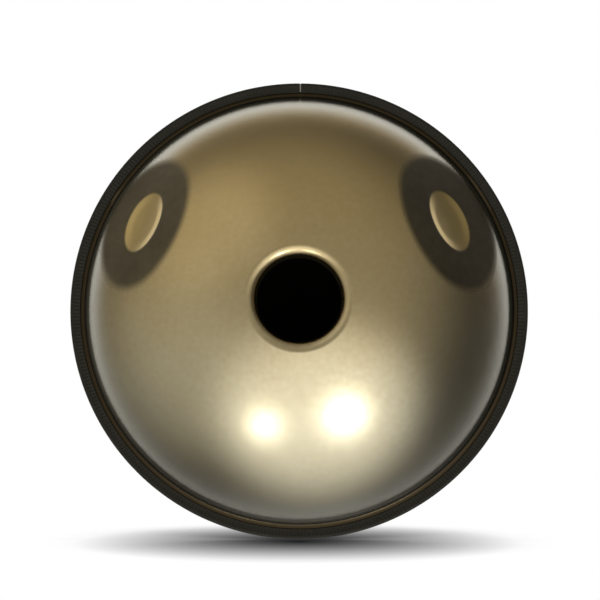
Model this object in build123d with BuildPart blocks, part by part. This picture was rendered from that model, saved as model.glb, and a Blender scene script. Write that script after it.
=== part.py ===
from build123d import *
import math
import os

os.makedirs("parts", exist_ok=True)

# A handpan: two domed steel half shells bonded at their flanges, with a rubber
# trim pressed over the joined edge. Millimetres. The axis of the domes is Z, the
# playing side is up, and the turned-in port is down, its shoulder resting at Z = 0.

# Half shells
dome_radius = 330.0      # outside of both domes, each a part of a sphere
sheet = 1.2              # steel sheet
flange_root = 250.5      # radius at which the flat flange begins
flange_width = 11.8      # flat flange, from its root to its edge
flange_fillet = 4.0      # outside bend between dome and flange

# Port in the bottom shell
port_radius = 46.0       # clear bore of the turned-in neck
port_shoulder = 11.0     # outside bend from dome to neck
neck_length = 14.0       # straight part of the neck

# Adhesive between the flanges
bond_thickness = 0.5
bond_inset = 0.8         # the ring stops this far short of both ends of the flange

# Edge trim: a U channel with a steel carrier inside it
trim_wall = 2.2          # leg and back
trim_nose = 2.8          # rounding of the outer corners
trim_edge_gap = 0.3      # between the flange edge and the back
trim_side_gap = 0.5      # between a flange and a leg, bridged by the grip fins
flange_bare = 2.5        # flange left showing inside the trim
joint_gap = 1.4          # between the trim's two ends
joint_angle = -90.0
fin_count = 3
fin_thickness = 0.9
carrier_sheet = 0.6
carrier_skin = 0.6       # rubber between the carrier and the slot
carrier_setback = 1.2    # rubber beyond the carrier at the mouth of a leg

# Notes: flattened ovals in the dome, each with a dimple in its middle
flattening = 0.88        # 1 would make a note's short section dead flat
note_rim_gap = 8.0       # along the dome, from a note to the flange bend
dimple_depth = 4.6

# Bottom notes: angle, lean from the tangent, length, width, dimple length and width
bottom_notes = [
    (207.8, 9.0, 154.0, 110.0, 75.0, 49.0),
    (331.0, -9.0, 164.0, 120.0, 77.0, 51.0),
]

# Top notes, in order round the ring
top_note_lengths = [150.0, 138.0, 126.0, 114.0, 108.0, 120.0, 132.0, 144.0]
first_top_note_angle = -90.0
top_note_slimness = 0.78     # a note's width over its length
top_dimple_share = 0.46      # a dimple's length over its note's
top_dimple_slimness = 0.7    # a dimple's width over its length

# Middle note of the top shell
ding_field_radius = 98.0
ding_flattening = 0.55
ding_radius = 34.0
ding_height = 8.5

# Heights of the flange faces and of the domes' centres
port_ring = port_radius + port_shoulder
bottom_centre = port_shoulder + math.sqrt((dome_radius - port_shoulder) ** 2 - port_ring**2)
root_height = math.sqrt((dome_radius + flange_fillet) ** 2 - flange_root**2)
root_angle = math.degrees(math.atan2(flange_root, root_height))
ring_angle = math.degrees(math.asin(port_ring / (dome_radius - port_shoulder)))
bottom_face = bottom_centre + flange_fillet - root_height
bond_base = bottom_face + sheet
top_face = bond_base + bond_thickness + sheet
top_centre = top_face + flange_fillet - root_height
flange_edge = flange_root + flange_width
overshoot = 20.0             # how far cutters stand out of what they cut
below, above = -1, 1


def note_place(centre, side, angle, lean, width):
    # a plane on the dome at a note's middle: X along the note, Z out of the dome
    tilt = math.radians(root_angle) - (note_rim_gap + width / 2) / dome_radius
    turn, roll = math.radians(angle), math.radians(lean)
    reach = math.sin(tilt)
    out = Vector(reach * math.cos(turn), reach * math.sin(turn), side * math.cos(tilt))
    around = Vector(-math.sin(turn), math.cos(turn), 0)
    along = around * math.cos(roll) + out.cross(around) * math.sin(roll)
    return Plane(origin=Vector(0, 0, centre) + out * dome_radius, x_dir=along, z_dir=out)


def lens(place, half, low, rise, top, along):
    # a solid turned about the Y direction of a place: its lower side is an arc across the note
    section = Plane(origin=place.origin, x_dir=place.y_dir, z_dir=place.x_dir)
    with BuildPart() as cutter:
        with BuildSketch(section):
            with BuildLine():
                ThreePointArc((-half, low + rise), (0, low), (half, low + rise))
                Polyline((half, low + rise), (half, top), (-half, top), (-half, low + rise))
            make_face()
        revolve(axis=Axis(place.origin + place.z_dir * along, place.y_dir))
    return cutter.part


def note_cutters(place, length, width, dimple_length, dimple_width, skin):
    # a note's flattening ring and dimple barrel, both lowered by the skin for the inside
    depth = flattening * (width / 2) ** 2 / (2 * dome_radius)
    across = dome_radius / (1 - flattening)
    along = dome_radius / (1 - flattening * (width / length) ** 2)
    dip_across = 1 / (8 * dimple_depth / dimple_width**2 - 1 / across)
    dip_along = 1 / (8 * dimple_depth / dimple_length**2 - 1 / along)
    half = width / 2 + overshoot / 2
    fall = (across - skin) - math.sqrt((across - skin) ** 2 - half**2)
    ring = lens(place, half, -depth - skin, -fall, overshoot, -depth - along)
    half = min(dimple_width / 2 + dimple_depth, dip_across)
    climb = (dip_across + skin) - math.sqrt((dip_across + skin) ** 2 - half**2)
    floor = -depth - dimple_depth
    barrel = lens(place, half, floor - skin, climb, floor + dip_along, floor + dip_along)
    return [ring, barrel]


def top_note(number):
    # angle, lean, length, width, dimple length and width of one note of the top ring
    length = top_note_lengths[number]
    spare = (360 - sum(map(note_span, top_note_lengths))) / len(top_note_lengths)
    before = sum(map(note_span, top_note_lengths[:number])) + number * spare
    angle = first_top_note_angle + before + (note_span(length) - note_span(top_note_lengths[0])) / 2
    dimple = length * top_dimple_share
    return angle, 0, length, length * top_note_slimness, dimple, dimple * top_dimple_slimness


def note_span(length):
    # the angle round Z that a note of the top ring takes up
    tilt = math.radians(root_angle) - (note_rim_gap + length * top_note_slimness / 2) / dome_radius
    return math.degrees(length / (dome_radius * math.sin(tilt)))


def turned(centre, radius, angle):
    # a point at an angle on a circle
    return (
        centre[0] + radius * math.cos(math.radians(angle)),
        centre[1] + radius * math.sin(math.radians(angle)),
    )


def strip(centre, inner, outer, start, end):
    # closed outline of a curved strip of sheet between two angles, radii in either order
    middle = (start + end) / 2
    ThreePointArc(*[turned(centre, outer, a) for a in (start, middle, end)])
    Line(turned(centre, outer, end), turned(centre, inner, end))
    ThreePointArc(*[turned(centre, inner, a) for a in (end, middle, start)])
    Line(turned(centre, inner, start), turned(centre, outer, start))


def dome_zone(centre, side, radius, inner_angle):
    # outline of the pie between two angles from Z, for the dome without its bend and port
    tip = (0, centre)
    start, end = side * (90 - root_angle), side * (90 - inner_angle)
    ThreePointArc(*[turned(tip, radius, a) for a in (start, (start + end) / 2, end)])
    Polyline(turned(tip, radius, end), tip, turned(tip, radius, start))


def hollow(centre, cutters):
    # the space inside a dome: a ball, less what the notes push into it
    with BuildPart() as space:
        with Locations((0, 0, centre)):
            Sphere(dome_radius - sheet)
        for cutter in cutters:
            add(cutter, mode=Mode.SUBTRACT)
    return space.part


# Bottom shell: dome, bend and flange, port shoulder and neck, and two notes
bottom_places = [note_place(bottom_centre, below, *note[:2], note[3]) for note in bottom_notes]
bottom_cutters = [
    note_cutters(place, *note[2:], 0) for place, note in zip(bottom_places, bottom_notes)
]
bottom_bulges = [
    note_cutters(place, *note[2:], sheet) for place, note in zip(bottom_places, bottom_notes)
]
bottom_space = hollow(bottom_centre, sum(bottom_bulges, []))
neck_top = port_shoulder + neck_length
bottom_bend = (flange_root, bottom_face - flange_fillet)
shoulder = (port_ring, port_shoulder)
with BuildPart() as bottom_shell:
    with BuildSketch(Plane.XZ):
        with BuildLine():
            dome_zone(bottom_centre, below, dome_radius, ring_angle)
        make_face()
    revolve(axis=Axis.Z)
    for cutter in sum(bottom_cutters, []):
        add(cutter, mode=Mode.SUBTRACT)
    add(bottom_space, mode=Mode.SUBTRACT)
    with BuildSketch(Plane.XZ):
        with BuildLine():
            strip(bottom_bend, flange_fillet, flange_fillet + sheet, 90, 90 + root_angle)
        make_face()
        with BuildLine():
            Polyline(
                (flange_root, bottom_face), (flange_edge, bottom_face),
                (flange_edge, bond_base), (flange_root, bond_base), close=True,
            )
        make_face()
        with BuildLine():
            strip(shoulder, port_shoulder - sheet, port_shoulder, 180, 270 + ring_angle)
        make_face()
        with BuildLine():
            Polyline(
                (port_radius, port_shoulder), (port_radius + sheet, port_shoulder),
                (port_radius + sheet, neck_top), (port_radius, neck_top), close=True,
            )
        make_face()
    revolve(axis=Axis.Z)

# Top shell: dome, bend and flange, the ring of notes and the raised middle note
top_notes = [top_note(number) for number in range(len(top_note_lengths))]
top_places = [note_place(top_centre, above, *note[:2], note[3]) for note in top_notes]
top_cutters = [note_cutters(place, *note[2:], 0) for place, note in zip(top_places, top_notes)]
top_bulges = [note_cutters(place, *note[2:], sheet) for place, note in zip(top_places, top_notes)]
ding_depth = ding_flattening * ding_field_radius**2 / (2 * dome_radius)
ding_crown = dome_radius / (1 - ding_flattening)
ding_level = top_centre + dome_radius - ding_depth


def ding_cutter(skin):
    # the flattening of the middle field, as a turned slab over it
    half = ding_field_radius + overshoot
    crown = ding_crown - skin
    rim = ding_level - ding_crown + math.sqrt(crown**2 - half**2)
    with BuildPart() as slab:
        with BuildSketch(Plane.XZ):
            with BuildLine():
                ThreePointArc(
                    (0, ding_level - skin),
                    (half / 2, ding_level - ding_crown + math.sqrt(crown**2 - half**2 / 4)),
                    (half, rim),
                )
                top = ding_level + overshoot
                Polyline((half, rim), (half, top), (0, top), (0, ding_level - skin))
            make_face()
        revolve(axis=Axis.Z)
    return slab.part


def ding_button(skin):
    # the raised middle of the ding: a cap of a ball, reaching down into the dome
    cap = 1 / (2 * ding_height / ding_radius**2 + 1 / ding_crown)
    with BuildPart() as button:
        with Locations((0, 0, ding_level + ding_height - cap)):
            Sphere(cap - skin)
        split(bisect_by=Plane.XY.offset(ding_level - overshoot / 2), keep=Keep.TOP)
    return button.part


ding_parts = {skin: (ding_cutter(skin), ding_button(skin)) for skin in (0, sheet)}
top_space = hollow(top_centre, sum(top_bulges, []) + [ding_parts[sheet][0]])
with BuildPart() as top_inside:
    add(top_space)
    add(ding_parts[sheet][1])
top_bend = (flange_root, top_face + flange_fillet)
with BuildPart() as top_shell:
    with BuildSketch(Plane.XZ):
        with BuildLine():
            dome_zone(top_centre, above, dome_radius, 0)
        make_face()
    revolve(axis=Axis.Z)
    for cutter in sum(top_cutters, []) + [ding_parts[0][0]]:
        add(cutter, mode=Mode.SUBTRACT)
    add(ding_parts[0][1])
    add(top_inside.part, mode=Mode.SUBTRACT)
    with BuildSketch(Plane.XZ):
        with BuildLine():
            strip(top_bend, flange_fillet, flange_fillet + sheet, 270 - root_angle, 270)
        make_face()
        with BuildLine():
            Polyline(
                (flange_root, top_face), (flange_edge, top_face),
                (flange_edge, top_face - sheet), (flange_root, top_face - sheet), close=True,
            )
        make_face()
    revolve(axis=Axis.Z)

# Adhesive ring between the flanges
with BuildPart() as flange_bond:
    with BuildSketch(Plane.XY.offset(bond_base)):
        Circle(flange_edge - bond_inset)
        Circle(flange_root + bond_inset, mode=Mode.SUBTRACT)
    extrude(amount=bond_thickness)

# Edge trim and its carrier, both open at the joint
slot_low, slot_high = bottom_face - trim_side_gap, top_face + trim_side_gap
leg_mouth = flange_root + flange_bare
slot_end = flange_edge + trim_edge_gap
trim_outside = slot_end + trim_wall
gap_angle = math.degrees(joint_gap / trim_outside)
start = math.radians(joint_angle + gap_angle / 2)
first_end = Plane(
    origin=(0, 0, 0),
    x_dir=(math.cos(start), math.sin(start), 0),
    z_dir=(math.sin(start), -math.cos(start), 0),
)
carrier_mouth = leg_mouth + carrier_setback
carrier_low, carrier_high = slot_low - carrier_skin, slot_high + carrier_skin
carrier_end = slot_end + carrier_skin
fin_pitch = (flange_edge - leg_mouth) / fin_count


def channel(mouth, low, high, end, wall):
    # outline of a U that opens towards the axis
    Polyline(
        (mouth, low), (mouth, low - wall), (end + wall, low - wall), (end + wall, high + wall),
        (mouth, high + wall), (mouth, high), (end, high), (end, low), close=True,
    )


with BuildPart() as trim_carrier:
    with BuildSketch(first_end):
        with BuildLine():
            channel(carrier_mouth, carrier_low, carrier_high, carrier_end, carrier_sheet)
        make_face()
    revolve(axis=Axis.Z, revolution_arc=360 - gap_angle)

with BuildPart() as rim_trim:
    with BuildSketch(first_end):
        with BuildLine():
            channel(leg_mouth, slot_low, slot_high, slot_end, trim_wall)
        make_face()
        fillet(vertices().group_by(Axis.X)[-1], trim_nose)
        for number in range(fin_count):
            middle = leg_mouth + fin_pitch * (number + 0.5)
            with Locations((middle, bottom_face - trim_side_gap / 2)):
                Rectangle(fin_thickness, trim_side_gap)
            with Locations((middle, top_face + trim_side_gap / 2)):
                Rectangle(fin_thickness, trim_side_gap)
        with BuildLine():
            channel(carrier_mouth, carrier_low, carrier_high, carrier_end, carrier_sheet)
        make_face(mode=Mode.SUBTRACT)
    revolve(axis=Axis.Z, revolution_arc=360 - gap_angle)

for name, piece in {
    "bottom_shell": bottom_shell,
    "top_shell": top_shell,
    "flange_bond": flange_bond,
    "rim_trim": rim_trim,
    "trim_carrier": trim_carrier,
}.items():
    piece.part.label = name
    export_step(piece.part, f"parts/{name}.step")
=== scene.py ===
import math

import bmesh
import bpy
import numpy as np
from mathutils import Matrix, Vector


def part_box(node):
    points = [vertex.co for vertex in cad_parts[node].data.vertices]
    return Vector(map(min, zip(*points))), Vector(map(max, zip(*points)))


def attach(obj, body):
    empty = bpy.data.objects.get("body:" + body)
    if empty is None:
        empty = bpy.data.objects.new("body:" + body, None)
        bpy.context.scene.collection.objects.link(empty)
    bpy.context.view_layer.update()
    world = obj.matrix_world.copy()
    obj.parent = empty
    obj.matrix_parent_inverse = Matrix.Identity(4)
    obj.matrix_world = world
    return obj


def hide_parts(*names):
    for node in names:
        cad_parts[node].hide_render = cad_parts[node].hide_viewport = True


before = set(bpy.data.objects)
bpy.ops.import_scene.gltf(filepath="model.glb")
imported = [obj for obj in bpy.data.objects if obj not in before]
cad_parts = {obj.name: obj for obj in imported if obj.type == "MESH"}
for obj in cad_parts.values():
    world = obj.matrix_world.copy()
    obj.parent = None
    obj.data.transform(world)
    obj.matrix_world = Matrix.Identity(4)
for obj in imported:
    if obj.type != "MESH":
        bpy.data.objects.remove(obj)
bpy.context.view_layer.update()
print("frame loaded:", sorted(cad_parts))


# ---- small helpers

def editOn(obj):
    bpy.ops.object.select_all(action="DESELECT")
    obj.select_set(True)
    bpy.context.view_layer.objects.active = obj
    bpy.ops.object.mode_set(mode="EDIT")


def editOff():
    bpy.ops.object.mode_set(mode="OBJECT")


def applyModifier(obj, modifier):
    bpy.ops.object.select_all(action="DESELECT")
    obj.select_set(True)
    bpy.context.view_layer.objects.active = obj
    bpy.ops.object.modifier_apply(modifier=modifier.name)


def readPoints(obj):
    points = np.zeros(len(obj.data.vertices) * 3, np.float64)
    obj.data.vertices.foreach_get("co", points)
    return points.reshape(-1, 3)


def writePoints(obj, points):
    obj.data.vertices.foreach_set("co", points.ravel())
    obj.data.update()


def smoothMin(a, b, width):
    blend = np.clip(width - np.abs(a - b), 0, None) / width
    return np.minimum(a, b) - blend * blend * width / 4


def smoothStep(low, high, value):
    t = np.clip((value - low) / (high - low), 0, 1)
    return t * t * (3 - 2 * t)


def arcPoints(centre, radius, start, end, count):
    # points after the first one on an arc in the radius and height plane, angles in degrees
    angles = [math.radians(start + (end - start) * n / count) for n in range(1, count + 1)]
    return [(centre[0] + radius * math.cos(a), centre[1] + radius * math.sin(a)) for a in angles]


# ---- the steel shells, drawn with the dome's centre at the origin and its pole up

shellForm = {
    "domeRadius": 0.330,
    "sheet": 0.0012,
    "flangeWidth": 0.0118,
    "flangeBend": 0.004,
    "portRadius": 0.046,
    "portShoulder": 0.011,
    "neckLength": 0.014,
    "segments": 288,
    "rings": 320,        # of the whole ball that the dome is cut from
}
noteForm = {
    "flattening": 0.88,
    "rimGap": 0.008,
    "dimpleDepth": 0.0036,
    "island": 0.0006,        # a low rise in the floor of a dimple
    "islandShare": 0.72,
    "borderSoft": 0.0010,
    "dimpleSoft": 0.00025,
    "fieldFade": (-0.0012, 0.0004),      # depths between which the darker colour of a field begins
    "dimpleFade": (-0.0001, 0.0006),
    "flatMiddle": 0.0006,
}
bottomNotes = [      # angle, lean from the tangent, length, width, dimple length and width
    (207.8, 9.0, 0.154, 0.110, 0.075, 0.049),
    (331.0, -9.0, 0.164, 0.120, 0.077, 0.051),
]
topNotes = {
    "lengths": [0.150, 0.138, 0.126, 0.114, 0.108, 0.120, 0.132, 0.144],
    "firstAngle": -90.0,
    "slimness": 0.78,
    "dimpleShare": 0.46,
    "dimpleSlimness": 0.7,
}
ding = {"fieldRadius": 0.098, "flattening": 0.55, "radius": 0.034, "height": 0.0085, "soft": 0.0012}

bottomBox, topBox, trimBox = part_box("bottom_shell"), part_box("top_shell"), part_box("rim_trim")
flangeEdge = bottomBox[1].x
flangeRoot = flangeEdge - shellForm["flangeWidth"]
rimHeight = (trimBox[0].z + trimBox[1].z) / 2
rimRadius = trimBox[1].x
bendReach = shellForm["domeRadius"] + shellForm["flangeBend"]
rootHeight = math.sqrt(bendReach**2 - flangeRoot**2)
rootAngle = math.degrees(math.atan2(flangeRoot, rootHeight))
portRing = shellForm["portRadius"] + shellForm["portShoulder"]
shoulderReach = shellForm["domeRadius"] - shellForm["portShoulder"]
shoulderHeight = math.sqrt(shoulderReach**2 - portRing**2)
portAngle = math.degrees(math.atan2(portRing, shoulderHeight))
faceLevel = rootHeight - shellForm["flangeBend"]      # the flange's outer face, under the dome's centre
bottomCentre = bottomBox[1].z - shellForm["sheet"] + faceLevel
topCentre = topBox[0].z + shellForm["sheet"] - faceLevel


def notePlace(angle, lean, width):
    # middle and axes of a note on the dome: along, across and out
    tilt = math.radians(rootAngle) - (noteForm["rimGap"] + width / 2) / shellForm["domeRadius"]
    turn, roll = math.radians(angle), math.radians(lean)
    out = Vector((math.sin(tilt) * math.cos(turn), math.sin(tilt) * math.sin(turn), math.cos(tilt)))
    around = Vector((-math.sin(turn), math.cos(turn), 0))
    along = around * math.cos(roll) + out.cross(around) * math.sin(roll)
    return out * shellForm["domeRadius"], along, out.cross(along), out


def noteSpan(length):
    width = length * topNotes["slimness"]
    tilt = math.radians(rootAngle) - (noteForm["rimGap"] + width / 2) / shellForm["domeRadius"]
    return math.degrees(length / (shellForm["domeRadius"] * math.sin(tilt)))


def topNoteList():
    lengths = topNotes["lengths"]
    spans = [noteSpan(length) for length in lengths]
    spare = (360 - sum(spans)) / len(spans)
    made = []
    for number, length in enumerate(lengths):
        before = sum(spans[:number]) + number * spare
        angle = topNotes["firstAngle"] + before + (spans[number] - spans[0]) / 2
        dimple = length * topNotes["dimpleShare"]
        width, dimpleWidth = length * topNotes["slimness"], dimple * topNotes["dimpleSlimness"]
        made.append((angle, 0, length, width, dimple, dimpleWidth))
    return made


def pullLoop(points, start):
    # extrudes the selected loop through (radius, height) points
    radius, height = start
    for nextRadius, nextHeight in points:
        bpy.ops.mesh.extrude_region_move()
        k = nextRadius / radius
        bpy.ops.transform.resize(value=(k, k, 1), center_override=(0, 0, 0))
        bpy.ops.transform.translate(value=(0, 0, nextHeight - height))
        radius, height = nextRadius, nextHeight


def hammerNote(points, place, note):
    # presses one note into the dome; returns how far each point is inside its field and its dimple
    middle, along, across, out = place
    length, width, dimpleLength, dimpleWidth = note[2:]
    radius = shellForm["domeRadius"]
    depth = noteForm["flattening"] * (width / 2) ** 2 / (2 * radius)
    bendAcross = (1 - noteForm["flattening"]) / radius
    bendAlong = (1 - noteForm["flattening"] * (width / length) ** 2) / radius
    dip = noteForm["dimpleDepth"]
    local = points - np.array(middle)
    x, y, z = (local @ np.array(axis) for axis in (along, across, out))
    near = ((2 * x / length) ** 2 + (2 * y / width) ** 2 < 1.4) & (z > -0.03)
    flat = -depth - bendAlong * x**2 / 2 - bendAcross * y**2 / 2
    bowl = -depth - dip + x**2 * (4 * dip / dimpleLength**2) + y**2 * (4 * dip / dimpleWidth**2)
    bowl = bowl - bendAlong * x**2 / 2 - bendAcross * y**2 / 2
    reach = (2 * x / dimpleLength) ** 2 + (2 * y / dimpleWidth) ** 2
    island = np.clip(1 - reach / noteForm["islandShare"] ** 2, 0, 1)
    bowl = bowl + noteForm["island"] * island**2 * (3 - 2 * island)
    field = np.where(near, smoothStep(*noteForm["fieldFade"], z - flat), 0)
    dimple = np.where(near, smoothStep(*noteForm["dimpleFade"], flat - bowl), 0)
    pressed = smoothMin(smoothMin(z, flat, noteForm["borderSoft"]), bowl, noteForm["dimpleSoft"])
    moved = np.where(near, pressed - z, 0)
    return points + moved[:, None] * np.array(out)[None, :], field, dimple


def raiseDing(points):
    # flattens the top of the dome and raises the button in its middle
    radius = shellForm["domeRadius"]
    depth = ding["flattening"] * ding["fieldRadius"] ** 2 / (2 * radius)
    reach = np.hypot(points[:, 0], points[:, 1])
    crown = radius / (1 - ding["flattening"])
    near = (points[:, 2] > 0) & (reach < 2 * ding["fieldRadius"])
    inside = np.where(near, reach, 0)
    flat = radius - depth - crown + np.sqrt(crown**2 - inside**2)
    cap = 1 / (2 * ding["height"] / ding["radius"] ** 2 + 1 / crown)
    button = radius - depth + ding["height"] - cap + np.sqrt(np.clip(cap**2 - inside**2, 0, None))
    z = smoothMin(points[:, 2], flat, noteForm["borderSoft"])
    raised = -smoothMin(-z, -button, ding["soft"])
    raised = np.where(inside < cap, raised, z)
    field = np.where(near, smoothStep(*noteForm["fieldFade"], points[:, 2] - flat), 0)
    dimple = np.where(near & (reach < cap), smoothStep(0, noteForm["dimpleFade"][1], button - flat), 0)
    points = points.copy()
    points[:, 2] = np.where(near, raised, points[:, 2])
    return points, field, dimple


def selectNear(obj, chosen):
    # selects the faces whose middles pass a test
    mesh = bmesh.from_edit_mesh(obj.data)
    for face in mesh.faces:
        face.select_set(chosen(face.calc_center_median()))
    bmesh.update_edit_mesh(obj.data)


def nearNote(places, notes, grow, which):
    def chosen(point):
        for (middle, along, across, out), note in zip(places, notes):
            gap = point - middle
            size = (note[2], note[3]) if which == "field" else (note[4], note[5])
            if out.dot(gap) > -0.03 and math.hypot(
                along.dot(gap) / size[0] * 2, across.dot(gap) / size[1] * 2
            ) < grow:
                return True
        return False
    return chosen


def makeShell(name, side, centre, notes, port):
    radius, bend, sheet = shellForm["domeRadius"], shellForm["flangeBend"], shellForm["sheet"]
    bpy.ops.object.select_all(action="DESELECT")
    bpy.ops.mesh.primitive_uv_sphere_add(
        segments=shellForm["segments"], ring_count=shellForm["rings"], radius=radius, location=(0, 0, 0)
    )
    shell = bpy.context.object
    shell.name = name
    editOn(shell)
    # cut the ball to the dome, then draw the bend and the flange from its rim
    bpy.ops.mesh.select_all(action="SELECT")
    rim = (radius * math.sin(math.radians(rootAngle)), radius * math.cos(math.radians(rootAngle)))
    bpy.ops.mesh.bisect(plane_co=(0, 0, rim[1]), plane_no=(0, 0, 1), clear_inner=True)
    middle = (flangeRoot, rootHeight)
    outline = arcPoints(middle, bend, 270 - rootAngle, 270, 7)
    outline += [(flangeRoot + shellForm["flangeWidth"] * n / 3, faceLevel) for n in (1, 2, 3)]
    pullLoop(outline, rim)
    if port:
        bpy.ops.mesh.select_all(action="SELECT")
        ring = (radius * math.sin(math.radians(portAngle)), radius * math.cos(math.radians(portAngle)))
        bpy.ops.mesh.bisect(plane_co=(0, 0, ring[1]), plane_no=(0, 0, 1), clear_outer=True)
        shoulder = (portRing, shoulderHeight)
        outline = arcPoints(shoulder, shellForm["portShoulder"], 90 - portAngle, 180, 16)
        low = shoulderHeight - shellForm["neckLength"]
        drop = (low - shoulderHeight) / 3
        outline += [(shellForm["portRadius"], shoulderHeight + drop * n) for n in (1, 2, 3)]
        pullLoop(outline, ring)
    # finer faces where the notes are
    places = [notePlace(note[0], side * note[1], note[3]) for note in notes]
    finer = [(1.12, "field", 1)] if port else []
    finer += [(1.3, "dimple", 1)]
    for grow, which, cuts in finer:
        selectNear(shell, nearNote(places, notes, grow, which))
        bpy.ops.mesh.subdivide(number_cuts=cuts)
    editOff()
    points = readPoints(shell)
    # subdividing leaves flat middles, so points of the dome go back on the ball
    onDome = points[:, 2] > rim[1] - 1e-6
    if port:
        onDome &= np.hypot(points[:, 0], points[:, 1]) > portRing
    far = np.linalg.norm(points, axis=1)
    onDome &= np.abs(far - radius) < noteForm["flatMiddle"]
    points[onDome] *= (radius / far[onDome])[:, None]
    field, dimple = np.zeros(len(points)), np.zeros(len(points))
    for place, note in zip(places, notes):
        points, inField, inDimple = hammerNote(points, place, note)
        field, dimple = np.maximum(field, inField), np.maximum(dimple, inDimple)
    if not port:
        points, inField, inDimple = raiseDing(points)
        field, dimple = np.maximum(field, inField), np.maximum(dimple, inDimple)
    points[:, 2] = centre + side * points[:, 2]
    writePoints(shell, points)
    for title, values in (("noteField", field), ("noteDimple", dimple)):
        layer = shell.data.attributes.new(title, "FLOAT", "POINT")
        layer.data.foreach_set("value", values.astype(np.float32))
    editOn(shell)
    bpy.ops.mesh.select_all(action="SELECT")
    bpy.ops.mesh.remove_doubles(threshold=1e-6)
    bpy.ops.mesh.select_all(action="SELECT")
    bpy.ops.mesh.normals_make_consistent(inside=False)
    middle = Vector((0, 0, centre))
    mesh = bmesh.from_edit_mesh(shell.data)
    if sum(face.normal.dot(face.calc_center_median() - middle) for face in mesh.faces) < 0:
        bpy.ops.mesh.flip_normals()
    editOff()
    for _ in range(2):
        shell.data.materials.append(None)
    wall = shell.modifiers.new("sheet", "SOLIDIFY")
    wall.thickness = sheet
    wall.offset = -1
    wall.use_even_offset = True
    wall.material_offset = 1
    applyModifier(shell, wall)
    bpy.ops.object.shade_smooth_by_angle(angle=math.radians(35))
    return shell


bottomShell = makeShell("bottomShell", -1, bottomCentre, bottomNotes, True)
print("bottom shell:", len(bottomShell.data.polygons), "faces")
topShell = makeShell("topShell", 1, topCentre, topNoteList(), False)
print("top shell:", len(topShell.data.polygons), "faces")


# ---- the ribbed edge trim

trimForm = {
    "wall": 0.0022,
    "nose": 0.0028,
    "bare": 0.0025,
    "jointGap": 0.0015,
    "ribs": 387,
    "stepsPerRib": 4,
    "ribDepth": 0.0005,
    "ribShare": 0.62,        # of the face, from the mouth outwards
    "corner": 0.0004,        # cut off the mouth's corners and beside the ribs' ends
}


def makeTrim():
    low, high = trimBox[0].z, trimBox[1].z
    mouth = flangeRoot + trimForm["bare"]
    wall, nose = trimForm["wall"], trimForm["nose"]
    slotLow, slotHigh = low + wall, high - wall
    slotEnd = rimRadius - wall
    face = rimRadius - nose
    ribEnd = mouth + (rimRadius - mouth) * trimForm["ribShare"]
    cut = trimForm["corner"]
    outline = [(mouth, slotLow), (mouth, low + cut), (mouth + cut, low), (ribEnd - cut, low), (ribEnd, low)]
    outline += [(face, low)] + arcPoints((face, low + nose), nose, -90, 0, 6)
    outline += [(rimRadius, high - nose)] + arcPoints((face, high - nose), nose, 0, 90, 6)
    outline += [(ribEnd, high), (ribEnd - cut, high), (mouth + cut, high), (mouth, high - cut)]
    outline += [(mouth, slotHigh)]
    outline += [(slotEnd, slotHigh), (slotEnd, slotLow)]
    mesh = bpy.data.meshes.new("rimTrim")
    trim = bpy.data.objects.new("rimTrim", mesh)
    bpy.context.scene.collection.objects.link(trim)
    half = trimForm["jointGap"] / rimRadius / 2
    start = -math.pi / 2 + half
    corners = [(r * math.cos(start), r * math.sin(start), z) for r, z in outline]
    count = len(corners)
    mesh.from_pydata(corners, [(n, (n + 1) % count) for n in range(count)], [])
    editOn(trim)
    bpy.ops.mesh.select_all(action="SELECT")
    steps = trimForm["ribs"] * trimForm["stepsPerRib"]
    bpy.ops.mesh.spin(steps=steps, angle=2 * math.pi - 2 * half, center=(0, 0, 0), axis=(0, 0, 1))
    editOff()
    points = readPoints(trim)
    angle = (np.arctan2(points[:, 1], points[:, 0]) - start) % (2 * math.pi)
    step = np.rint(angle / (2 * math.pi - 2 * half) * steps).astype(int) % trimForm["stepsPerRib"]
    reach = np.hypot(points[:, 0], points[:, 1])
    groove = (step >= trimForm["stepsPerRib"] // 2) & (reach < ribEnd - cut / 2) & (reach > mouth - cut / 2)
    depth = trimForm["ribDepth"]
    points[groove & (points[:, 2] < low + wall / 2), 2] += depth
    points[groove & (points[:, 2] > high - wall / 2), 2] -= depth
    writePoints(trim, points)
    editOn(trim)
    # close both ends of the U
    bpy.ops.mesh.select_all(action="DESELECT")
    bpy.ops.mesh.select_mode(type="EDGE")
    bpy.ops.mesh.select_non_manifold()
    bpy.ops.mesh.edge_face_add()
    bpy.ops.mesh.select_all(action="SELECT")
    bpy.ops.mesh.normals_make_consistent(inside=False)
    bpy.ops.mesh.select_mode(type="VERT")
    editOff()
    bpy.ops.object.shade_smooth_by_angle(angle=math.radians(38))
    return trim


rimTrim = makeTrim()
print("trim:", len(rimTrim.data.polygons), "faces")


# ---- materials

def newMaterial(name):
    material = bpy.data.materials.new(name)
    material.use_nodes = True
    nodes, links = material.node_tree.nodes, material.node_tree.links
    nodes.clear()
    output = nodes.new("ShaderNodeOutputMaterial")
    shader = nodes.new("ShaderNodeBsdfPrincipled")
    links.new(shader.outputs["BSDF"], output.inputs["Surface"])
    return material, nodes, links, shader


def newGroup(name, inputs, outputs):
    # a node group with inputs (name, kind, default) and outputs (name, kind)
    group = bpy.data.node_groups.new(name, "ShaderNodeTree")
    for title, kind, value in inputs:
        socket = group.interface.new_socket(name=title, in_out="INPUT", socket_type=kind)
        if value is not None:
            socket.default_value = value
    for title, kind in outputs:
        group.interface.new_socket(name=title, in_out="OUTPUT", socket_type=kind)
    return group, group.nodes.new("NodeGroupInput"), group.nodes.new("NodeGroupOutput")


def useGroup(nodes, group, **values):
    node = nodes.new("ShaderNodeGroup")
    node.node_tree = group
    for title, value in values.items():
        node.inputs[title].default_value = value
    return node


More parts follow.
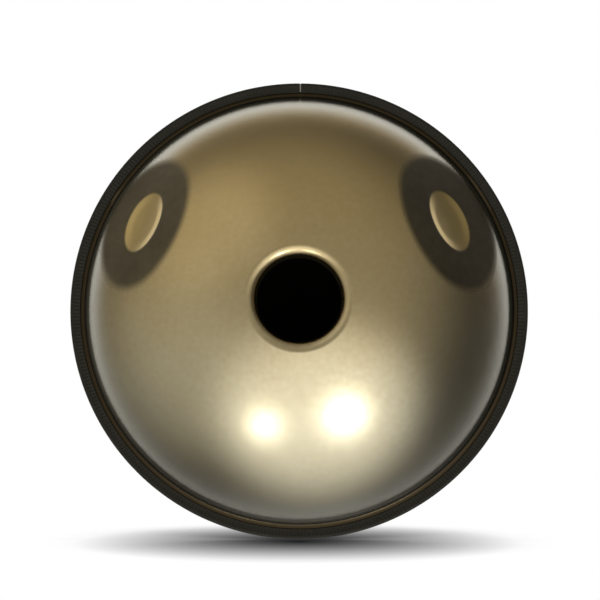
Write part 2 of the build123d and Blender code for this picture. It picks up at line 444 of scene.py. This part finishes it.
def mathNode(nodes, links, kind, a, b=0.5, c=None):
    node = nodes.new("ShaderNodeMath")
    node.operation = kind
    for socket, value in zip(node.inputs, (a, b, c)):
        if value is None:
            continue
        if isinstance(value, (int, float)):
            socket.default_value = value
        else:
            links.new(value, socket)
    return node.outputs[0]


def mixColour(nodes, links, factor, a, b, blend="MIX"):
    node = nodes.new("ShaderNodeMix")
    node.data_type = "RGBA"
    node.blend_type = blend
    for socket, value in ((node.inputs[0], factor), (node.inputs[6], a), (node.inputs[7], b)):
        if isinstance(value, (int, float)):
            socket.default_value = value
        elif isinstance(value, tuple):
            socket.default_value = (*value, 1)
        else:
            links.new(value, socket)
    return node.outputs[2]


def grainGroup():
    # fine surface grain: a height and a mask that vary over the surface
    group, start, end = newGroup(
        "surfaceGrain",
        [("Scale", "NodeSocketFloat", 900.0), ("Waves", "NodeSocketFloat", 12.0),
         ("Wave Share", "NodeSocketFloat", 0.5)],
        [("Height", "NodeSocketFloat"), ("Mask", "NodeSocketFloat")],
    )
    nodes, links = group.nodes, group.links
    place = nodes.new("ShaderNodeTexCoord").outputs["Object"]
    fine = nodes.new("ShaderNodeTexNoise")
    links.new(place, fine.inputs["Vector"])
    links.new(start.outputs["Scale"], fine.inputs["Scale"])
    fine.inputs["Detail"].default_value = 2.0
    broad = nodes.new("ShaderNodeTexNoise")
    links.new(place, broad.inputs["Vector"])
    links.new(start.outputs["Waves"], broad.inputs["Scale"])
    broad.inputs["Detail"].default_value = 2.0
    wave = mathNode(nodes, links, "MULTIPLY", broad.outputs["Fac"], start.outputs["Wave Share"])
    links.new(mathNode(nodes, links, "ADD", fine.outputs["Fac"], wave), end.inputs["Height"])
    links.new(fine.outputs["Fac"], end.inputs["Mask"])
    return group


def mottleGroup():
    # slow patches of tint, 0 to 1, with small specks over them
    group, start, end = newGroup(
        "softMottle",
        [("Scale", "NodeSocketFloat", 6.0), ("Speck Scale", "NodeSocketFloat", 140.0),
         ("Speck Share", "NodeSocketFloat", 0.3)],
        [("Fac", "NodeSocketFloat")],
    )
    nodes, links = group.nodes, group.links
    place = nodes.new("ShaderNodeTexCoord").outputs["Object"]
    slow = nodes.new("ShaderNodeTexNoise")
    links.new(place, slow.inputs["Vector"])
    links.new(start.outputs["Scale"], slow.inputs["Scale"])
    slow.inputs["Detail"].default_value = 3.0
    speck = nodes.new("ShaderNodeTexNoise")
    links.new(place, speck.inputs["Vector"])
    links.new(start.outputs["Speck Scale"], speck.inputs["Scale"])
    speck.inputs["Detail"].default_value = 4.0
    both = nodes.new("ShaderNodeMix")
    links.new(start.outputs["Speck Share"], both.inputs[0])
    links.new(slow.outputs["Fac"], both.inputs[2])
    links.new(speck.outputs["Fac"], both.inputs[3])
    stretch = nodes.new("ShaderNodeMapRange")
    stretch.inputs["From Min"].default_value = 0.3
    stretch.inputs["From Max"].default_value = 0.7
    links.new(both.outputs[0], stretch.inputs["Value"])
    links.new(stretch.outputs["Result"], end.inputs["Fac"])
    return group


grain, mottle = grainGroup(), mottleGroup()

steelLook = {
    # bronze and straw: partly the steel's heat tint, partly painted reflection, the dark room on the bronze
    # side and the pale floor on the straw side
    "bronze": (0.60, 0.46, 0.245),       # on the side away from the floor
    "straw": (0.62, 0.56, 0.42),         # on the side towards it
    "fieldTint": (0.155, 0.129, 0.087),
    "fieldSpread": (0.82, 1.22),
    "dimpleTint": (0.58, 0.44, 0.21),
    "rimTint": (0.56, 0.535, 0.46),
    "rimFade": (0.212, 0.238),           # radii between which the dome turns to the rim's paler, more neutral tint, partly a painted reflection of the white behind
    # painted shade for the bend and the flange beside the trim
    "flangePaintedShade": (0.055, 0.042, 0.026),
    "roughness": 0.235,
    "roughSpread": 0.05,
    "fieldRoughness": 0.08,
}


def steelMaterial():
    material, nodes, links, shader = newMaterial("heatTintedSteel")
    shader.inputs["Metallic"].default_value = 1.0
    patches = useGroup(nodes, mottle, **{"Scale": 5.0, "Speck Scale": 160.0, "Speck Share": 0.3})
    place = nodes.new("ShaderNodeSeparateXYZ")
    links.new(nodes.new("ShaderNodeTexCoord").outputs["Object"], place.inputs[0])
    # bronze to straw along Y towards the floor: partly heat tint, partly a painted reflection of the pale
    # floor
    drift = mathNode(nodes, links, "MULTIPLY_ADD", patches.outputs["Fac"], 0.10, place.outputs["Y"])
    tint = nodes.new("ShaderNodeMapRange")
    tint.interpolation_type = "SMOOTHSTEP"
    tint.inputs["From Min"].default_value = -0.07
    tint.inputs["From Max"].default_value = 0.19
    links.new(drift, tint.inputs["Value"])
    colour = mixColour(nodes, links, tint.outputs["Result"], steelLook["bronze"], steelLook["straw"])
    cloud = mathNode(nodes, links, "MULTIPLY_ADD", patches.outputs["Fac"], 0.16, 0.86)
    shaded = nodes.new("ShaderNodeVectorMath")
    shaded.operation = "SCALE"
    links.new(colour, shaded.inputs[0])
    links.new(cloud, shaded.inputs["Scale"])
    colour = shaded.outputs[0]
    # the dome pales towards the rim; the bend and the flange are darkened with painted shade, for the dark
    # band and contact shadow beside the trim
    flat = nodes.new("ShaderNodeCombineXYZ")
    links.new(place.outputs["X"], flat.inputs["X"])
    links.new(place.outputs["Y"], flat.inputs["Y"])
    reach = nodes.new("ShaderNodeVectorMath")
    reach.operation = "LENGTH"
    links.new(flat.outputs[0], reach.inputs[0])
    # paler towards the rim: partly the steel's own tint, partly a painted reflection of the white behind
    pale = nodes.new("ShaderNodeMapRange")
    pale.interpolation_type = "SMOOTHSTEP"
    pale.inputs["From Min"].default_value = steelLook["rimFade"][0]
    pale.inputs["From Max"].default_value = steelLook["rimFade"][1]
    links.new(reach.outputs["Value"], pale.inputs["Value"])
    colour = mixColour(nodes, links, pale.outputs["Result"], colour, steelLook["rimTint"])
    flangeShade = nodes.new("ShaderNodeMapRange")
    flangeShade.interpolation_type = "SMOOTHSTEP"
    flangeShade.inputs["From Min"].default_value = flangeRoot - 0.0040
    flangeShade.inputs["From Max"].default_value = flangeRoot - 0.0018
    links.new(reach.outputs["Value"], flangeShade.inputs["Value"])
    colour = mixColour(nodes, links, flangeShade.outputs["Result"], colour, steelLook["flangePaintedShade"])
    field = nodes.new("ShaderNodeAttribute")
    field.attribute_name = "noteField"
    dimple = nodes.new("ShaderNodeAttribute")
    dimple.attribute_name = "noteDimple"
    stain = useGroup(nodes, mottle, **{"Scale": 22.0, "Speck Scale": 120.0, "Speck Share": 0.35})
    dark, light = (tuple(share * k for k in steelLook["fieldTint"]) for share in steelLook["fieldSpread"])
    fieldColour = mixColour(nodes, links, stain.outputs["Fac"], dark, light)
    colour = mixColour(nodes, links, field.outputs["Fac"], colour, fieldColour)
    colour = mixColour(nodes, links, dimple.outputs["Fac"], colour, steelLook["dimpleTint"])
    links.new(colour, shader.inputs["Base Color"])
    satin = useGroup(nodes, grain, **{"Scale": 1400.0, "Waves": 14.0, "Wave Share": 6.0})
    spread, least = steelLook["roughSpread"], steelLook["roughness"]
    rough = mathNode(nodes, links, "MULTIPLY_ADD", satin.outputs["Mask"], spread, least)
    rough = mathNode(nodes, links, "MULTIPLY_ADD", field.outputs["Fac"], steelLook["fieldRoughness"], rough)
    links.new(rough, shader.inputs["Roughness"])
    bump = nodes.new("ShaderNodeBump")
    bump.inputs["Strength"].default_value = 0.06
    bump.inputs["Distance"].default_value = 0.0004
    links.new(satin.outputs["Height"], bump.inputs["Height"])
    links.new(bump.outputs["Normal"], shader.inputs["Normal"])
    return material


def mottledMaterial(name, stains, dark, light, satinGrain, roughSpread, leastRough):
    # a material whose colour drifts between two tones, with a satin grain in its roughness
    material, nodes, links, shader = newMaterial(name)
    patches = useGroup(nodes, mottle, **stains)
    links.new(mixColour(nodes, links, patches.outputs["Fac"], dark, light), shader.inputs["Base Color"])
    satin = useGroup(nodes, grain, **satinGrain)
    rough = mathNode(nodes, links, "MULTIPLY_ADD", satin.outputs["Mask"], roughSpread, leastRough)
    links.new(rough, shader.inputs["Roughness"])
    return material, shader, satin


def insideMaterial():
    # near black: the inside's own dark finish, darkened further with painted shade for the closed cavity
    material, shader, _ = mottledMaterial(
        "darkInside",
        {"Scale": 9.0, "Speck Scale": 90.0, "Speck Share": 0.4},
        (0.004, 0.0035, 0.003), (0.009, 0.008, 0.006),
        {"Scale": 700.0, "Waves": 20.0, "Wave Share": 1.0}, 0.2, 0.7,
    )
    shader.inputs["Specular IOR Level"].default_value = 0.15
    return material


def rubberMaterial():
    material, shader, satin = mottledMaterial(
        "trimRubber",
        {"Scale": 30.0, "Speck Scale": 900.0, "Speck Share": 0.6},
        (0.006, 0.0055, 0.004), (0.016, 0.0145, 0.010),
        {"Scale": 2200.0, "Waves": 300.0, "Wave Share": 0.4}, 0.25, 0.45,
    )
    nodes, links = material.node_tree.nodes, material.node_tree.links
    shader.inputs["Specular IOR Level"].default_value = 0.3
    bump = nodes.new("ShaderNodeBump")
    bump.inputs["Strength"].default_value = 0.35
    bump.inputs["Distance"].default_value = 0.0002
    links.new(satin.outputs["Height"], bump.inputs["Height"])
    links.new(bump.outputs["Normal"], shader.inputs["Normal"])
    return material


def carrierMaterial():
    material, shader, _ = mottledMaterial(
        "carrierSteel",
        {"Scale": 60.0, "Speck Scale": 700.0, "Speck Share": 0.5}, (0.35, 0.34, 0.32), (0.5, 0.49, 0.47),
        {"Scale": 1500.0, "Waves": 80.0, "Wave Share": 0.5}, 0.2, 0.35,
    )
    shader.inputs["Metallic"].default_value = 1.0
    return material


def bondMaterial():
    return mottledMaterial(
        "curedBond",
        {"Scale": 80.0, "Speck Scale": 500.0, "Speck Share": 0.5}, (0.10, 0.085, 0.06), (0.16, 0.14, 0.11),
        {"Scale": 900.0, "Waves": 100.0, "Wave Share": 0.5}, 0.2, 0.4,
    )[0]


def dress(obj, *materials):
    obj.data.materials.clear()
    for material in materials:
        obj.data.materials.append(material)


steel, inside, rubber = steelMaterial(), insideMaterial(), rubberMaterial()
for shell in (bottomShell, topShell):
    keep = np.zeros(len(shell.data.polygons), np.int32)
    shell.data.polygons.foreach_get("material_index", keep)
    dress(shell, steel, inside)
    shell.data.polygons.foreach_set("material_index", keep)
dress(rimTrim, rubber)
for node, material in (("trim_carrier", carrierMaterial()), ("flange_bond", bondMaterial())):
    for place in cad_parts[node].material_slots:
        place.material = material

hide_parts("bottom_shell")
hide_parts("top_shell")
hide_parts("rim_trim")
for piece, slot in ((bottomShell, "shell_steel"), (topShell, "shell_steel"), (rimTrim, "trim_rubber")):
    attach(piece, "root")


# ---- floor: the pan stands on its rim, port towards the camera, so the floor is across Y

def makeFloor():
    bpy.ops.object.select_all(action="DESELECT")
    bpy.ops.mesh.primitive_plane_add(
        size=8, location=(0, rimRadius, rimHeight), rotation=(math.pi / 2, 0, 0)
    )
    floor = bpy.context.object
    floor.name = "floor"
    material = bpy.data.materials.new("paleFloor")
    material.use_nodes = True
    nodes, links = material.node_tree.nodes, material.node_tree.links
    nodes.clear()
    output = nodes.new("ShaderNodeOutputMaterial")
    # painted shade: the floor's emitted brightness follows its ambient occlusion, so it darkens near the
    # pan
    shade = nodes.new("ShaderNodeAmbientOcclusion")
    shade.samples = 16
    shade.inputs["Distance"].default_value = 0.16
    curve = nodes.new("ShaderNodeValToRGB")
    curve.color_ramp.elements[0].position = 0.30
    curve.color_ramp.elements[0].color = (0.2, 0.2, 0.2, 1)
    curve.color_ramp.elements[1].position = 0.93
    curve.color_ramp.elements[1].color = (1, 1, 1, 1)
    links.new(shade.outputs["AO"], curve.inputs["Fac"])
    # painted contact shadow: a soft dark patch drawn on the floor where the rim touches
    spread = nodes.new("ShaderNodeMapping")
    spread.inputs["Scale"].default_value = (1 / 0.25, 1 / 0.18, 1)
    spread.inputs["Location"].default_value = (0, 0.12, 0)
    links.new(nodes.new("ShaderNodeTexCoord").outputs["Object"], spread.inputs["Vector"])
    ball = nodes.new("ShaderNodeTexGradient")
    ball.gradient_type = "SPHERICAL"
    links.new(spread.outputs[0], ball.inputs["Vector"])
    patch = mathNode(nodes, links, "MULTIPLY_ADD", ball.outputs["Fac"], -0.95, 1.0)
    glow = nodes.new("ShaderNodeEmission")
    both = nodes.new("ShaderNodeVectorMath")
    both.operation = "SCALE"
    links.new(curve.outputs["Color"], both.inputs[0])
    links.new(patch, both.inputs["Scale"])
    links.new(both.outputs[0], glow.inputs["Color"])
    clear = nodes.new("ShaderNodeBsdfTransparent")
    facing = nodes.new("ShaderNodeNewGeometry")
    mix = nodes.new("ShaderNodeMixShader")
    links.new(facing.outputs["Backfacing"], mix.inputs["Fac"])
    links.new(glow.outputs[0], mix.inputs[1])
    links.new(clear.outputs[0], mix.inputs[2])
    links.new(mix.outputs[0], output.inputs["Surface"])
    floor.data.materials.append(material)
    floor.visible_glossy = False
    floor.visible_diffuse = False
    floor.visible_shadow = False
    return floor


makeFloor()


# ---- studio: white behind the pan, a dim warm room in front, two small lamps low in front

cameraPlace = {"distance": 1.3, "offAxis": 5.085, "tilt": 5.448, "lens": 67.31, "sensor": 36.0}


def towards(right, up, front):
    # a direction from the pan: right and up as the camera sees it, front towards the camera
    tilt = math.radians(cameraPlace["tilt"])
    across, above = Vector((1, 0, 0)), Vector((0, -math.cos(tilt), -math.sin(tilt)))
    return (across * right + above * up + across.cross(above) * front).normalized()


def makeWorld():
    world = bpy.data.worlds.new("studio")
    bpy.context.scene.world = world
    world.use_nodes = True
    nodes, links = world.node_tree.nodes, world.node_tree.links
    nodes.clear()
    output = nodes.new("ShaderNodeOutputWorld")
    way = nodes.new("ShaderNodeTexCoord").outputs["Generated"]

    def glow(direction, inner, outer, colour, strength):
        dot = nodes.new("ShaderNodeVectorMath")
        dot.operation = "DOT_PRODUCT"
        links.new(way, dot.inputs[0])
        dot.inputs[1].default_value = direction
        fade = nodes.new("ShaderNodeMapRange")
        fade.interpolation_type = "SMOOTHERSTEP"
        fade.inputs["From Min"].default_value = math.cos(math.radians(outer))
        fade.inputs["From Max"].default_value = math.cos(math.radians(inner))
        fade.inputs["To Max"].default_value = strength
        links.new(dot.outputs["Value"], fade.inputs["Value"])
        scaled = nodes.new("ShaderNodeVectorMath")
        scaled.operation = "SCALE"
        scaled.inputs[0].default_value = colour
        links.new(fade.outputs["Result"], scaled.inputs["Scale"])
        return scaled.outputs[0]

    lights = [
        glow(towards(0, -0.08, -1), 75, 80, (1.0, 1.0, 1.0), 1.35),                # wall behind
        glow(towards(0, -0.08, -1), 25, 62, (1.0, 0.98, 0.94), -0.85),             # dimmer in its middle
        glow(towards(-0.22, 0.28, 0.93), 34, 102, (1.0, 0.94, 0.72), 0.36),        # room in front
        glow(towards(0, 0, 1), 80, 100, (1.0, 1.0, 0.95), 0.03),
        glow(towards(-0.85, -0.2, 0.5), 5, 50, (1.0, 1.0, 0.88), 0.14),
        glow(towards(-0.55, 0.6, 0.5), 5, 34, (1.0, 0.95, 0.80), 0.26),
        glow(towards(0.14, -0.62, 0.77), 14, 51, (1.0, 1.0, 0.93), 0.95),
        glow(towards(0, -1, -0.1), 8, 30, (1.0, 1.0, 1.0), 0.06),
        glow(towards(0.31, -0.62, 0.72), 2, 9, (1.0, 0.99, 0.94), 8.0),            # lamps
        glow(towards(-0.23, -0.68, 0.69), 1, 6, (1.0, 0.99, 0.94), 9.0),
    ]
    total = lights[0]
    for light in lights[1:]:
        add = nodes.new("ShaderNodeVectorMath")
        add.operation = "ADD"
        links.new(total, add.inputs[0])
        links.new(light, add.inputs[1])
        total = add.outputs[0]
    seen = nodes.new("ShaderNodeBackground")
    seen.inputs["Color"].default_value = (1, 1, 1, 1)
    room = nodes.new("ShaderNodeBackground")
    links.new(total, room.inputs["Color"])
    path = nodes.new("ShaderNodeLightPath")
    mix = nodes.new("ShaderNodeMixShader")
    links.new(path.outputs["Is Camera Ray"], mix.inputs["Fac"])
    links.new(room.outputs[0], mix.inputs[1])
    links.new(seen.outputs[0], mix.inputs[2])
    links.new(mix.outputs[0], output.inputs["Surface"])


makeWorld()

def makeCamera():
    off, tilt = math.radians(cameraPlace["offAxis"]), math.radians(cameraPlace["tilt"])
    data = bpy.data.cameras.new("camera")
    data.lens, data.sensor_width = cameraPlace["lens"], cameraPlace["sensor"]
    camera = bpy.data.objects.new("camera", data)
    bpy.context.scene.collection.objects.link(camera)
    place = Vector((0.00077, math.sin(off), -math.cos(off))) * cameraPlace["distance"]
    place.z += rimHeight
    up = Vector((0, -math.cos(tilt), -math.sin(tilt)))
    back = Vector((0, math.sin(tilt), -math.cos(tilt)))
    camera.matrix_world = Matrix(
        ((1, up.x, back.x, place.x), (0, up.y, back.y, place.y), (0, up.z, back.z, place.z), (0, 0, 0, 1))
    )
    bpy.context.scene.camera = camera


makeCamera()
bpy.context.scene.view_settings.view_transform = "Standard"
